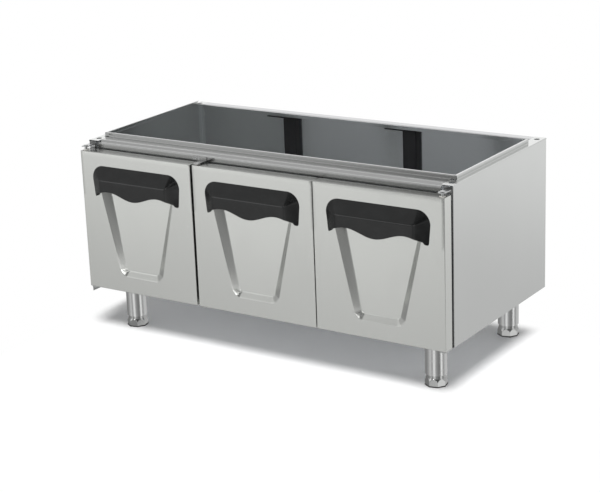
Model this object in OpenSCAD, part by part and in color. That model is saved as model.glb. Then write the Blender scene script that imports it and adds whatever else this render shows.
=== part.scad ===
// Appliance base cabinet: an open-topped stand in folded stainless sheet with three pivot-hung doors.
// The carcass frame has its origin at the middle of the body's bottom front edge, with the doors at -Y.

/* [Carcass] */
// Width over the two side panels
cabinet_w = 1200; // [1080:10:1500]
// Depth of the carcass without its doors
carcass_d = 556; // [460:2:700]
// Height of the side panels
body_h = 440; // [420:5:520]
// Thickness of the folded sheet
sheet_t = 1.2; // [1:0.1:1.5]
// Radius of a bend at the middle of the sheet
bend_r = 2; // [1.5:0.25:3]
// Width of the front and back returns of a side panel
stile_w = 26; // [24:1:34]
// Height of the turned-up edges of the floor panel
floor_edge_h = 25; // [15:1:40]
// Height of the bottom front rail
bottom_rail_h = 40; // [30:1:60]
// Depth of the bottom front rail
bottom_rail_d = 28; // [24:1:40]
// Height of the front face of the top rail
top_rail_h = 42; // [38:1:50]
// Depth of the bottom return of the top rail
top_rail_return = 26; // [24:1:40]
// Drop from the top rail's top to its front step
rail_step_h = 5; // [4:0.5:8]
// Depth of the top rail's front step
rail_step_d = 9; // [7:1:12]
// Depth over which the rail slopes down to its step
rail_slope_d = 8; // [6:1:12]
// Width of a mullion between two doors
mullion_w = 40; // [30:1:60]
// Depth of a mullion
mullion_d = 25; // [20:1:35]

/* [Top frame] */
// Height of the locating lip above the top flange
lip_h = 12; // [8:1:20]
// Width of the lip's turned-in top edge
lip_edge = 6; // [4:0.5:8]
// Distance of the side lips from the outside of the cabinet
lip_in_x = 18; // [14:1:20]
// Distance of the front lip from the front of the carcass
lip_in_y = 54; // [50:1:70]
// Distance from the back at which the right lip ends
lip_back_right = 80; // [70:1:110]
// Distance from the back at which the left lip ends
lip_back_left = 40; // [38:1:110]
// Width of the corner tabs that carry the bolt holes
tab_w = 34; // [32:1:45]
// Length of a corner tab along the side
tab_l = 48; // [44:1:49]
// Diameter of the bolt holes for the appliance on top
bolt_hole_d = 16; // [8:0.5:18]
// Distance of the bolt holes from the outside of the side panel
bolt_in_x = 17; // [16:0.5:20]
// Distance of the bolt holes from the front and the back
bolt_in_y = 26; // [22:1:32]
// Depth of the back panel's top flange
back_flange_d = 30; // [20:1:45]
// Height of the turned-down edge of the back flange
back_flange_h = 12; // [8:1:20]
// Width of the back panel's edges that are turned forward along the side panels
back_edge = 15; // [10:1:25]
// Distance of the end rivets from the top and the bottom of the back
rivet_in_z = 40; // [30:1:60]

/* [Back posts] */
// Width of a back post
post_w = 44; // [36:1:80]
// Depth of a back post
post_d = 20; // [15:1:30]
// Distance between the two back posts
post_pitch = 420; // [300:5:500]
// Sideways place of the middle between the posts
post_mid_x = -38; // [-60:1:60]
// Distance of the post's top below the body's top
post_drop = 16; // [14:1:30]
// Reach of the fixing tab beside the post
post_tab_l = 72; // [40:1:90]
// Height of the fixing tab
post_tab_h = 9; // [7:1:20]

/* [Doors] */
// Thickness of a door
door_t = 35; // [34:1:44]
// Gap between the doors' backs and the carcass
door_back_gap = 9; // [7:0.5:10]
// Distance of a door's outer edge from the outside of the cabinet
door_side_gap = 1.5; // [1:0.5:3]
// Gap beside the middle door's hinges
hinge_gap = 7; // [6:0.5:9]
// Gap where two doors meet without hinges
meeting_gap = 2; // [2:0.5:6]
// Distance of the doors' tops below the body's top
door_drop = 22; // [21:0.5:30]
// Distance of the doors' bottoms above the body's bottom
door_rise = 1; // [1:0.5:4]
// Depth of the liner's turned-in edges
liner_edge = 14; // [8:1:20]

/* [Recess] */
// Distance of the recess's top corners inside the handle's ends
recess_in_handle = 15; // [13:1:24]
// Width of the recess where its bottom corners start
recess_low_w = 160; // [140:2:180]
// Width of the recess along its bottom edge
recess_bottom_w = 114; // [90:2:130]
// Height of the bottom corner facets
recess_corner_h = 23; // [15:1:30]
// Height of the recess bottom above the door bottom
recess_rise = 49; // [35:1:70]
// Distance of the recess top below the handle top
recess_under_handle = 27; // [25:1:34]
// Depth of the recess at its top
recess_depth_top = 25; // [18:1:27]
// Depth of the recess at its bottom
recess_depth_low = 8; // [5:1:14]
// Sideways run of the sloping recess walls
recess_draft = 20; // [12:1:24]

/* [Handle] */
// Width of the handle hood on the door
handle_w = 314; // [308:2:330]
// Distance of the handle top below the door top
handle_drop = 39; // [25:1:60]
// Radius of the handle's top corners, which are cones
handle_corner_r = 39; // [34:1:44]
// Distance that the ridge of the handle stands off the door
handle_reach = 20; // [16:1:28]
// Height of the grip below the ridge, at the middle of its waves
grip_h = 41; // [34:1:50]
// Half the height of the grip's waves
wave_h = 10; // [4:1:12]
// Length of one wave of the grip
wave_l = 176; // [150:2:200]
// Drop of the rounded lugs at the grip's ends
grip_lug_h = 5; // [2:0.5:8]
// Width of a lug at an end of the grip
grip_lug_w = 18; // [14:1:24]
// Wall thickness of the moulded handle
handle_wall = 3; // [2.5:0.25:4]
// Diameter of the handle's screw bosses
boss_d = 9; // [8:0.5:10]
// Diameter of the handle screws
handle_screw_d = 4; // [3.5:0.1:4.2]

/* [Hinges] */
// Diameter of the hinge pins
pin_d = 8; // [6:0.5:9]
// Distance of a pin from the door's hinged edge
pin_in_x = 12; // [11:0.5:14]
// Distance of a pin from the door's front
pin_in_y = 12; // [10:0.5:13]
// Thickness of a hinge bracket
bracket_t = 2.5; // [2:0.25:3]
// Width of a hinge bracket
bracket_w = 20; // [18:1:24]
// Distance of a bracket's front edge from its pin
bracket_nose = 9; // [8:0.5:10]
// Corner radius of a bracket
bracket_r = 4; // [3:0.5:6]
// Height of the upright leg of a top bracket
bracket_leg_h = 26; // [25:1:30]
// Width by which the middle top bracket's upright leg is wider
middle_leg_extra = 28; // [24:1:36]
// Height of the lug under the left bottom bracket
bracket_lug_h = 16; // [8:1:20]
// Reach of a bottom bracket under the floor panel
bracket_reach = 30; // [28:1:40]
// Gap between an outer door's top and its bracket
top_gap = 10; // [7:0.5:11]
// Gap between the middle door's top and its bracket
middle_gap = 2; // [2:0.25:3]
// Depth of a pin in the door
pin_depth = 14; // [10:1:20]
// Outside diameter of the nylon bushes
bush_d = 12; // [11:0.5:14]
// Diameter of the flange of a bush
bush_flange_d = 17; // [15:1:20]
// Thickness of the flange of a top bush
bush_flange_t = 1.5; // [1:0.25:2]
// Diameter of the hinge and catch screws
screw_d = 5; // [4:0.5:6]

/* [Catches] */
// Width of a magnetic catch
catch_w = 40; // [34:1:50]
// Height of a magnetic catch
catch_h = 13; // [10:1:18]
// Distance of a catch from the door's free edge
catch_in = 44; // [40:1:60]
// Thickness of a strike plate
strike_t = 1.5; // [1:0.25:2]

/* [Legs] */
// Diameter of a leg tube
leg_d = 60; // [50:1:64]
// Height of the legs under the body
leg_h = 140; // [120:5:180]
// Wall thickness of a leg tube
leg_wall = 1.5; // [1.2:0.1:2.5]
// Distance of a leg's middle from the outside of the cabinet
leg_in_x = 88; // [76:1:110]
// Distance of a leg's middle from the front and the back
leg_in_y = 60; // [56:1:80]
// Width of a leg's mounting plate
leg_plate_w = 94; // [90:1:100]
// Thickness of a leg's mounting plate
leg_plate_t = 4; // [3:0.5:6]
// Corner radius of a leg's mounting plate
leg_plate_r = 8; // [4:1:12]
// Distance of a leg bolt from the middle of its plate, each way
leg_bolt_in = 37; // [36:0.5:38]
// Diameter of a leg bolt
leg_bolt_d = 6; // [5:0.5:8]
// Height of an adjustable foot below its tube
foot_h = 33; // [28:1:40]
// Width of a foot across its flats at the bottom
foot_w = 57; // [48:1:60]
// Diameter of a foot where it meets the tube
foot_neck_d = 54; // [46:1:56]
// Angle to which the feet are screwed round
foot_turn = -10; // [-22:1:22]
// Height of the straight neck of a foot
foot_collar_h = 7; // [4:1:10]
// Height of the straight edge at the bottom of a foot
foot_edge_h = 8; // [4:1:12]
// Diameter of a foot's stem
stem_d = 20; // [12:1:24]
// Length of a foot's stem
stem_l = 70; // [55:1:75]
// Height of the insert that carries the stem
insert_h = 30; // [20:1:40]
// Thickness of a foot's rubber pad
pad_t = 3; // [2:0.5:5]

/* [Hidden] */

steel = [0.76, 0.77, 0.77];
dark_steel = [0.55, 0.56, 0.57];
polished = [0.83, 0.84, 0.85];
zinc = [0.62, 0.63, 0.64];
black = [0.06, 0.06, 0.065];
nylon = [0.85, 0.85, 0.82];

fit = 0.05;
seat_gap = 0.3;
rivet_d = 4;
rivet_head_d = 8;
rivet_head_h = 1.2;
rivet_count = 4;
bend_steps = 4;
half_t = sheet_t / 2;
relief = 4;
outline_steps = 6;
wave_steps = 82;
grip_round = 6;

half_w = cabinet_w / 2;
inner_w = half_w - sheet_t;
stile_x = half_w - stile_w;
rail_y = lip_in_y - half_t;
rail_top = body_h - half_t;
lip_z = body_h + lip_h - half_t;
lip_relief = 4;
rail_step_z = rail_top - rail_step_h;
rail_bottom = body_h - rail_step_h - top_rail_h;

door_front = -door_back_gap - door_t;
door_back = -door_back_gap;
door_low = door_rise;
door_top = body_h - door_drop;
door_h = door_top - door_low;
door_w = (cabinet_w - 2 * door_side_gap - hinge_gap - meeting_gap) / 3;
door_left_x = -half_w + door_side_gap + door_w / 2;
door_middle_x = door_left_x + door_w + hinge_gap;
door_right_x = door_middle_x + door_w + meeting_gap;
mullion_left_x = door_middle_x - door_w / 2 - hinge_gap / 2;
mullion_right_x = door_middle_x + door_w / 2 + meeting_gap / 2;

pin_y = door_front + pin_in_y;
pin_x = door_w / 2 - pin_in_x;
bracket_low = door_top + top_gap;
middle_low = door_top + middle_gap;
middle_high = rail_step_z - bend_r - seat_gap;

handle_top = door_top - handle_drop;
ridge_z = handle_top - handle_corner_r;
ridge_w = handle_w - 2 * handle_corner_r;
wave_z = ridge_z - grip_h;
handle_low = wave_z - wave_h - grip_lug_h - 1;
boss_top_z = handle_top - 15;
boss_top_x = 60;
boss_low_z = wave_z + 6;
boss_low_x = handle_w / 2 - 11;
boss_l = 6;
screw_head_h = 2.4;

recess_top = handle_top - recess_under_handle;
recess_top_w = handle_w - 2 * recess_in_handle;
recess_low = door_low + recess_rise;

front_y = door_front - handle_reach;
back_y = carcass_d + rivet_head_h;
frame_y = -(front_y + back_y) / 2;

function unit(v) = v / norm(v);
function left_of(v) = [-v[1], v[0]];
function turned(v, a) = [v[0] * cos(a) - v[1] * sin(a), v[0] * sin(a) + v[1] * cos(a)];
function turn(u, v) = atan2(u[0] * v[1] - u[1] * v[0], u[0] * v[0] + u[1] * v[1]);
function reversed(list) = [for (i = [len(list) - 1 : -1 : 0]) list[i]];

// One face of a folded sheet round the corner b of its middle line, s to the left of that line.
function bend(a, b, c, s) =
    let (u = unit(b - a), w = turn(u, unit(c - b)), k = sign(w))
    let (m = b - u * bend_r * tan(abs(w) / 2) + left_of(u) * k * bend_r)
    [for (i = [0 : bend_steps]) m - left_of(turned(u, w * i / bend_steps)) * k * (bend_r - k * s)];

function face(path, s) =
    let (n = len(path) - 1)
    concat(
        [path[0] + left_of(unit(path[1] - path[0])) * s],
        [for (i = [1 : n - 1]) each bend(path[i - 1], path[i], path[i + 1], s)],
        [path[n] + left_of(unit(path[n] - path[n - 1])) * s]);

// Outline of a sheet folded along the middle line given by path.
function folded(path) = concat(face(path, -half_t), reversed(face(path, half_t)));

// A folded sheet drawn as [y, z] and run along X from x0 to x1.
module along_x(x0, x1, path) {
    translate([x0, 0, 0]) rotate([90, 0, 90]) linear_extrude(x1 - x0) polygon(folded(path));
}

// A folded sheet drawn as [x, z] and run along Y from y0 to y1.
module along_y(y0, y1, path) {
    translate([0, y1, 0]) rotate([90, 0, 0]) linear_extrude(y1 - y0) polygon(folded(path));
}

// A folded sheet drawn as [x, y] and run along Z from z0 to z1.
module along_z(z0, z1, path) {
    translate([0, 0, z0]) linear_extrude(z1 - z0) polygon(folded(path));
}

// A flat outline drawn as [x, z] and run along Y from y0 to y1.
module plate_y(y0, y1) {
    translate([0, y1, 0]) rotate([90, 0, 0]) linear_extrude(y1 - y0) children();
}

module block(low, high) {
    translate(low) cube(high - low);
}

// A round bar along +Y from y0 to y1.
module bar_y(d, x, y0, y1, z) {
    translate([x, y0, z]) rotate([-90, 0, 0]) cylinder(d = d, h = y1 - y0, $fn = 32);
}

// Moves a child from the carcass frame to the part's own frame on the floor.
module placed() {
    translate([0, frame_y, leg_h]) children();
}

module bolt_holes() {
    for (y = [bolt_in_y, carcass_d - bolt_in_y])
        translate([half_w - bolt_in_x, y, body_h - 2 * sheet_t])
            cylinder(d = bolt_hole_d, h = 3 * sheet_t, $fn = 48);
}

// Right side panel: folded front and back returns, a narrow top flange with a locating lip,
// and a wide tab with a bolt hole at each end. The lip's top edge is turned in.
module side_panel_shape(lip_back) {
    side_x = half_w - half_t;
    top_z = body_h - half_t;
    difference() {
        union() {
            along_z(0, body_h - relief, [
                [stile_x, half_t], [side_x, half_t],
                [side_x, carcass_d - half_t], [stile_x, carcass_d - half_t]]);
            along_y(0, carcass_d, [
                [side_x, body_h - relief], [side_x, top_z], [half_w - lip_in_x, top_z]]);
            along_y(lip_in_y, carcass_d - lip_back, [
                [side_x, body_h - relief], [side_x, top_z], [half_w - lip_in_x, top_z],
                [half_w - lip_in_x, lip_z], [half_w - lip_in_x - lip_edge, lip_z]]);
            for (y = [[0, tab_l], [carcass_d - lip_back + lip_relief, carcass_d]])
                block([half_w - tab_w, y[0], body_h - sheet_t], [half_w - bend_r, y[1], body_h]);
        }
        bolt_holes();
        side_panel_screw_holes();
    }
}

module side_panel_screw_holes() {
    for (z = bracket_screw_z)
        bar_y(screw_d + 2 * fit, half_w - door_side_gap - pin_in_x, -1, sheet_t + 1, z);
    for (z = rivet_z)
        bar_y(rivet_d + 2 * fit, rivet_x, carcass_d - 3 * sheet_t, carcass_d + 1, z);
}

rivet_x = half_w - stile_w / 2 - 1;
rivet_pitch = (body_h - 2 * rivet_in_z) / (rivet_count - 1);
rivet_z = [for (i = [0 : rivet_count - 1]) rivet_in_z + i * rivet_pitch];
bracket_screw_z = [bracket_low - 7, bracket_low - 19];

module side_panel_left() {
    color(steel) placed() mirror([1, 0, 0]) side_panel_shape(lip_back_left);
}

module side_panel_right() {
    color(steel) placed() side_panel_shape(lip_back_right);
}

// Back panel: a sheet inside the returns with its side edges turned forward and a top flange.
module back_panel() {
    panel_y = carcass_d - 1.5 * sheet_t;
    panel_x = inner_w - 2 * bend_r;
    edge_x = inner_w - half_t;
    color(steel) placed() difference() {
        union() {
            block([-panel_x, panel_y - half_t, sheet_t], [panel_x, panel_y + half_t, body_h - relief]);
            along_z(floor_edge_h + lip_relief, body_h - relief, [
                [-edge_x, panel_y - back_edge], [-edge_x, panel_y],
                [edge_x, panel_y], [edge_x, panel_y - back_edge]]);
            along_x(-half_w + tab_w, half_w - tab_w, [
                [panel_y, body_h - relief], [panel_y, rail_top],
                [panel_y - back_flange_d, rail_top], [panel_y - back_flange_d, rail_top - back_flange_h]]);
        }
        for (side = [-1, 1], z = rivet_z)
            bar_y(rivet_d + 2 * fit, side * rivet_x, carcass_d - 3 * sheet_t, carcass_d, z);
    }
}

// Blind rivets with domed heads along both back returns.
module back_rivets() {
    sphere_r = (pow(rivet_head_d / 2, 2) + pow(rivet_head_h, 2)) / (2 * rivet_head_h);
    color(zinc) placed()
        for (side = [-1, 1], z = rivet_z)
            translate([side * rivet_x, carcass_d, z]) rotate([-90, 0, 0]) {
                translate([0, 0, -2.5 * sheet_t]) cylinder(d = rivet_d, h = 2.5 * sheet_t, $fn = 32);
                intersection() {
                    cylinder(d = rivet_head_d, h = rivet_head_h, $fn = 32);
                    translate([0, 0, rivet_head_h - sphere_r]) sphere(r = sphere_r, $fn = 64);
                }
            }
}

// Floor panel: a pan with edges turned up against the side panels and the back.
module floor_panel() {
    edge_x = inner_w - half_t;
    floor_back = carcass_d - 2 * sheet_t;
    color(dark_steel) placed() difference() {
        union() {
            along_y(sheet_t + bend_r, floor_back - bend_r, [
                [-edge_x, floor_edge_h], [-edge_x, half_t], [edge_x, half_t], [edge_x, floor_edge_h]]);
            along_x(-inner_w + 2 * bend_r, inner_w - 2 * bend_r, [
                [floor_back - 20, half_t], [floor_back - half_t, half_t], [floor_back - half_t, floor_edge_h]]);
        }
        for (p = leg_spots, b = bolt_spots)
            translate([p[0] + b[0], p[1] + b[1], -1]) cylinder(d = leg_bolt_d + 2 * fit, h = 4, $fn = 32);
        for (x = hinge_spots, y = bottom_screw_y)
            translate([x, y, -1]) cylinder(d = screw_d + 2 * fit, h = 4, $fn = 32);
    }
}

leg_spots = [
    [-half_w + leg_in_x, leg_in_y], [half_w - leg_in_x, leg_in_y],
    [-half_w + leg_in_x, carcass_d - leg_in_y], [half_w - leg_in_x, carcass_d - leg_in_y]];
bolt_spots = [for (x = [-1, 1], y = [-1, 1]) [x * leg_bolt_in, y * leg_bolt_in]];
hinge_spots = [door_left_x - pin_x, door_middle_x - pin_x, door_right_x + pin_x];
bottom_screw_y = [9, 20];

// Top front rail: lip, top flange, sloping step, front face and bottom return in one folded sheet.
// Its ends are cut back above the doors, beside the hinge brackets.
module front_top_rail() {
    lip_x = half_w - lip_in_x - half_t - seat_gap;
    lip_edge_x = half_w - lip_in_x - lip_edge - seat_gap;
    flange_x = half_w - tab_w - 2 * seat_gap;
    slot_z = door_top - relief;
    color(steel) placed() difference() {
        union() {
            along_x(-flange_x, flange_x, [
                [rail_y, body_h + lip_h / 2], [rail_y, rail_top], [rail_step_d + rail_slope_d, rail_top],
                [rail_step_d, rail_step_z], [half_t, rail_step_z],
                [half_t, rail_bottom + half_t], [top_rail_return, rail_bottom + half_t]]);
            along_x(-lip_edge_x, lip_edge_x, [[rail_y, body_h], [rail_y, lip_z], [rail_y + lip_edge, lip_z]]);
            block([-lip_x, rail_y - half_t, body_h], [lip_x, rail_y + half_t, lip_z + half_t - bend_r]);
            block([-stile_x, 0, rail_bottom + bend_r], [stile_x, sheet_t, slot_z]);
        }
        for (x = middle_screw_x)
            bar_y(screw_d + 2 * fit, hinge_spots[1] + x, -1, sheet_t + 1, middle_screw_z);
        for (x = catch_spots, side = [-1, 1])
            translate([x + side * catch_screw_x, catch_screw_y, rail_bottom - 1])
                cylinder(d = handle_screw_d + 2 * fit, h = 4, $fn = 32);
    }
}

catch_spots = [
    door_left_x + door_w / 2 - catch_in, door_middle_x + door_w / 2 - catch_in,
    door_right_x - door_w / 2 + catch_in];
catch_screw_x = catch_w / 2 - 5;
catch_screw_y = 16;

// Bottom front rail: an open channel that stands on the floor panel.
module front_bottom_rail() {
    back = bottom_rail_d - half_t;
    color(steel) placed() difference() {
        along_x(-stile_x, stile_x, [
            [back, bottom_rail_h - 12], [back, bottom_rail_h - half_t], [half_t, bottom_rail_h - half_t],
            [half_t, 1.5 * sheet_t], [back, 1.5 * sheet_t]]);
        for (y = bottom_screw_y)
            translate([door_middle_x - pin_x, y, -1]) cylinder(d = screw_d + 2 * fit, h = 5, $fn = 32);
        for (p = leg_spots, b = bolt_spots)
            translate([p[0] + b[0], p[1] + b[1], -1]) cylinder(d = leg_bolt_d + 2 * fit, h = 5, $fn = 32);
    }
}

// A mullion: a channel, open to the back, between the two front rails.
module mullion_shape(x) {
    half = mullion_w / 2 - half_t;
    color(steel) placed() translate([x, 0, 0])
        along_z(bottom_rail_h, rail_bottom, [
            [-half, mullion_d], [-half, half_t], [half, half_t], [half, mullion_d]]);
}

module mullion_left() {
    mullion_shape(mullion_left_x);
}

module mullion_right() {
    mullion_shape(mullion_right_x);
}

// A back post: a dark channel against the back panel, with a fixing tab beside its top. Its foot is
// notched round the turned-up edge of the floor panel.
module back_post_shape(x) {
    half = post_w / 2 - half_t;
    wall = carcass_d - 2 * sheet_t;
    front = wall - post_d + half_t;
    top = body_h - post_drop;
    notch = wall - sheet_t - bend_r;
    color(black) placed() translate([x, 0, 0]) difference() {
        union() {
            along_z(sheet_t, top, [[-half, wall], [-half, front], [half, front], [half, wall]]);
            block([-half - post_tab_l, wall - sheet_t, top - post_tab_h], [-half, wall, top]);
            block([-half, front, top - sheet_t], [half, wall, top]);
        }
        block([-post_w, notch, 0], [post_w, wall + 1, floor_edge_h]);
    }
}

module back_post_left() {
    back_post_shape(post_mid_x - post_pitch / 2);
}

module back_post_right() {
    back_post_shape(post_mid_x + post_pitch / 2);
}

// Half-outline of the recess, grown by g, with its side walls in steps: [x, z] from the top to the bottom.
function recess_side(top_x, low_x, bottom_x, top_z, low_z, bottom_z) = concat(
    [for (i = [0 : outline_steps])
        let (s = i / outline_steps) [top_x + (low_x - top_x) * s, top_z + (low_z - top_z) * s]],
    [[bottom_x, bottom_z]]);

function recess_loop(g, inset, top_in, low_in) =
    let (side = recess_side(
        recess_top_w / 2 - inset + g, recess_low_w / 2 - inset + g, recess_bottom_w / 2 - inset * 0.7 + g,
        recess_top - top_in + g, recess_low + recess_corner_h + low_in * 0.4, recess_low + low_in - g))
    concat(side, [for (p = reversed(side)) [-p[0], p[1]]]);

recess_slope = (recess_depth_top - recess_depth_low) / (recess_top - recess_low);
function recess_depth(z) = recess_depth_low + (z - recess_low) * recess_slope;

// The pressed recess: its mouth lies on the door's front and its floor slopes back towards the top,
// so the two side walls are ruled surfaces between unlike lines.
module recess(g) {
    mouth = recess_loop(g, 0, 0, 0);
    bed = recess_loop(g, recess_draft, 6, 15);
    n = len(mouth);
    points = concat(
        [for (p = mouth) [p[0], door_front - 1, p[1]]],
        [for (p = mouth) [p[0], door_front, p[1]]],
        [for (p = bed) [p[0], door_front + recess_depth(p[1]) + g, p[1]]]);
    faces = concat(
        [for (i = [0 : n / 2 - 2]) each [[i, i + 1, n - 1 - i], [i + 1, n - 2 - i, n - 1 - i]]],
        [for (k = [0, 1], i = [0 : n - 1]) let (j = (i + 1) % n) [k * n + i, (k + 1) * n + j, k * n + j]],
        [for (k = [0, 1], i = [0 : n - 1]) let (j = (i + 1) % n) [k * n + i, (k + 1) * n + i, (k + 1) * n + j]],
        [for (i = [0 : n / 2 - 2])
            each [[2 * n + i, 3 * n - 1 - i, 2 * n + i + 1], [2 * n + i + 1, 3 * n - 1 - i, 3 * n - 2 - i]]]);
    polyhedron(points = points, faces = faces);
}

// Body of a door grown inwards by g, with its front edges rounded.
module door_body(g) {
    r = bend_r + half_t - g;
    x = door_w / 2 - g;
    y0 = door_front + g;
    z0 = door_low + g;
    z1 = door_top - g;
    corner = [for (i = [0 : bend_steps]) [r - r * cos(90 * i / bend_steps), r - r * sin(90 * i / bend_steps)]];
    back = door_back + (g > 0 ? 1 : 0);
    intersection() {
        translate([0, 0, z0]) linear_extrude(z1 - z0) polygon(concat(
            [for (p = corner) [-x + p[0], y0 + p[1]]],
            [for (p = reversed(corner)) [x - p[0], y0 + p[1]]],
            [[x, back], [-x, back]]));
        translate([-x, 0, 0]) rotate([90, 0, 90]) linear_extrude(2 * x) polygon(concat(
            [[back, z1], [back, z0]],
            [for (p = corner) [y0 + p[1], z0 + p[0]]],
            [for (p = corner) [y0 + p[0], z1 - p[1]]]));
    }
}

// Places a door's pieces: side is 1 where the pins are at the right edge, else -1.
module door_at(x) {
    placed() translate([x, 0, 0]) children();
}

module door_skin_shape(side) {
    difference() {
        union() {
            difference() {
                door_body(0);
                door_body(sheet_t);
            }
            intersection() {
                door_body(0);
                recess(sheet_t);
            }
        }
        recess(0);
        translate([side * pin_x, pin_y, door_low - 1]) cylinder(d = bush_d + 2 * fit, h = door_h + 2, $fn = 48);
        for (p = handle_screw_spots)
            bar_y(handle_screw_d + 2 * fit, p[0], door_front - 1, door_front + sheet_t + 1, p[1]);
    }
}

handle_screw_spots = [for (s = [-1, 1], p = [[boss_top_x, boss_top_z], [boss_low_x, boss_low_z]]) [s * p[0], p[1]]];

// Liner: a flat pan that closes the door's back.
module door_liner_shape() {
    x = door_w / 2 - 1.5 * sheet_t;
    y = door_back - half_t;
    z0 = door_low + sheet_t;
    z1 = door_top - sheet_t;
    along_z(z0, z1, [[-x, y - liner_edge], [-x, y], [x, y], [x, y - liner_edge]]);
}

// Outline of the handle where it meets the door, drawn as [x, z] and shrunk by g.
module handle_base(g) {
    r = handle_corner_r - g;
    hull() {
        for (s = [-1, 1])
            translate([s * ridge_w / 2, ridge_z]) circle(r = r, $fn = 64);
        translate([-ridge_w / 2 - r, handle_low]) square([ridge_w + 2 * r, 1]);
    }
}

// The hood before its grip is cut: a loft from the base outline to the front face below the ridge.
module hood(g, reach) {
    front = door_front - reach;
    foot = door_front + (g > 0 ? 1 : 0);
    hull() {
        plate_y(foot - 0.1, foot) intersection() {
            handle_base(g);
            translate([-handle_w, handle_low]) square([2 * handle_w, handle_top - handle_low]);
        }
        block([-ridge_w / 2, front, handle_low], [ridge_w / 2, front + 0.1, ridge_z - g * 0.5]);
    }
}

// Height of the grip's lower edge at x: waves, with a rounded lug at each end.
function grip_z(x) =
    let (s = min(max((abs(x) - handle_w / 2 + grip_lug_w) / 6, 0), 1))
    let (over = min(max(abs(x) - handle_w / 2 + grip_round, 0), grip_round))
    wave_z - wave_h * cos(360 * x / wave_l) - grip_lug_h * s * s * (3 - 2 * s)
    + grip_round - sqrt(pow(grip_round, 2) - pow(over, 2));

// Everything below the grip, drawn as [x, z].
module under_grip() {
    half = handle_w / 2 + 5;
    polygon(concat(
        [[half, handle_low - 10], [-half, handle_low - 10]],
        [for (i = [0 : wave_steps]) let (x = -half + 2 * half * i / wave_steps) [x, grip_z(x)]]));
}

module handle_shape() {
    difference() {
        union() {
            difference() {
                hood(0, handle_reach);
                hood(handle_wall, handle_reach - handle_wall);
            }
            for (p = handle_screw_spots) intersection() {
                bar_y(boss_d, p[0], door_front - boss_l - 4, door_front, p[1]);
                hood(0, handle_reach);
            }
        }
        plate_y(front_y - 1, door_front + 1) under_grip();
        for (p = handle_screw_spots)
            bar_y(handle_screw_d + 2 * fit, p[0], door_front - screw_reach(p), door_front + 1, p[1]);
    }
}

// A screw stops short of the hood's outer face, which slopes away from the door.
function screw_reach(p) = p[1] > ridge_z ? 4.2 : 3.2;

module handle_screws_shape() {
    for (p = handle_screw_spots) {
        bar_y(handle_screw_d, p[0], door_front - screw_reach(p) + 0.4, door_front + sheet_t, p[1]);
        bar_y(1.9 * handle_screw_d, p[0], door_front + sheet_t, door_front + sheet_t + screw_head_h, p[1]);
    }
}

// Two flanged nylon bushes on the pin line: the lower one carries the door on its bracket.
module door_bushes_shape(side) {
    low_flange = door_low - seat_gap;
    translate([side * pin_x, pin_y, 0]) {
        difference() {
            union() {
                translate([0, 0, door_top - pin_depth - 2]) cylinder(d = bush_d, h = pin_depth + 2, $fn = 48);
                translate([0, 0, door_top]) cylinder(d = bush_flange_d, h = bush_flange_t, $fn = 48);
            }
            translate([0, 0, door_top - pin_depth - 3]) cylinder(d = pin_d + 2 * fit, h = pin_depth + 6, $fn = 48);
        }
        difference() {
            union() {
                translate([0, 0, door_low]) cylinder(d = bush_d, h = pin_depth + 2, $fn = 48);
                translate([0, 0, seat_gap]) cylinder(d = bush_flange_d, h = low_flange, $fn = 48);
            }
            cylinder(d = pin_d + 2 * fit, h = pin_depth + 6, $fn = 48);
        }
    }
}

// A strike plate with rounded ends on the liner, in front of the magnetic catch.
module door_strike_shape(x) {
    z = rail_bottom - catch_h / 2;
    plate_y(door_back, door_back + strike_t) hull()
        for (s = [-1, 1])
            translate([x + s * (catch_w / 2 - 6), z]) circle(r = 6, $fn = 32);
}

module door_left_skin() {
    color(steel) door_at(door_left_x) door_skin_shape(-1);
}

module door_left_liner() {
    color(steel) door_at(door_left_x) door_liner_shape();
}

module door_left_handle() {
    color(black) door_at(door_left_x) handle_shape();
}

module door_left_handle_screws() {
    color(zinc) door_at(door_left_x) handle_screws_shape();
}

module door_left_bushes() {
    color(nylon) door_at(door_left_x) door_bushes_shape(-1);
}

module door_left_strike() {
    color(zinc) door_at(door_left_x) door_strike_shape(catch_spots[0] - door_left_x);
}

module door_middle_skin() {
    color(steel) door_at(door_middle_x) door_skin_shape(-1);
}

module door_middle_liner() {
    color(steel) door_at(door_middle_x) door_liner_shape();
}

module door_middle_handle() {
    color(black) door_at(door_middle_x) handle_shape();
}

module door_middle_handle_screws() {
    color(zinc) door_at(door_middle_x) handle_screws_shape();
}

module door_middle_bushes() {
    color(nylon) door_at(door_middle_x) door_bushes_shape(-1);
}

module door_middle_strike() {
    color(zinc) door_at(door_middle_x) door_strike_shape(catch_spots[1] - door_middle_x);
}

module door_right_skin() {
    color(steel) door_at(door_right_x) door_skin_shape(1);
}

module door_right_liner() {
    color(steel) door_at(door_right_x) door_liner_shape();
}

module door_right_handle() {
    color(black) door_at(door_right_x) handle_shape();
}

module door_right_handle_screws() {
    color(zinc) door_at(door_right_x) handle_screws_shape();
}

module door_right_bushes() {
    color(nylon) door_at(door_right_x) door_bushes_shape(1);
}

module door_right_strike() {
    color(zinc) door_at(door_right_x) door_strike_shape(catch_spots[2] - door_right_x);
}

// A tongue of a hinge bracket with two rounded corners, from above.
module bracket_tongue(back) {
    hull() {
        for (s = [-1, 1])
            translate([s * (bracket_w / 2 - bracket_r), pin_y - bracket_nose + bracket_r]) circle(r = bracket_r, $fn = 32);
        translate([-bracket_w / 2, back - 1]) square([bracket_w, 1]);
    }
}

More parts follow.
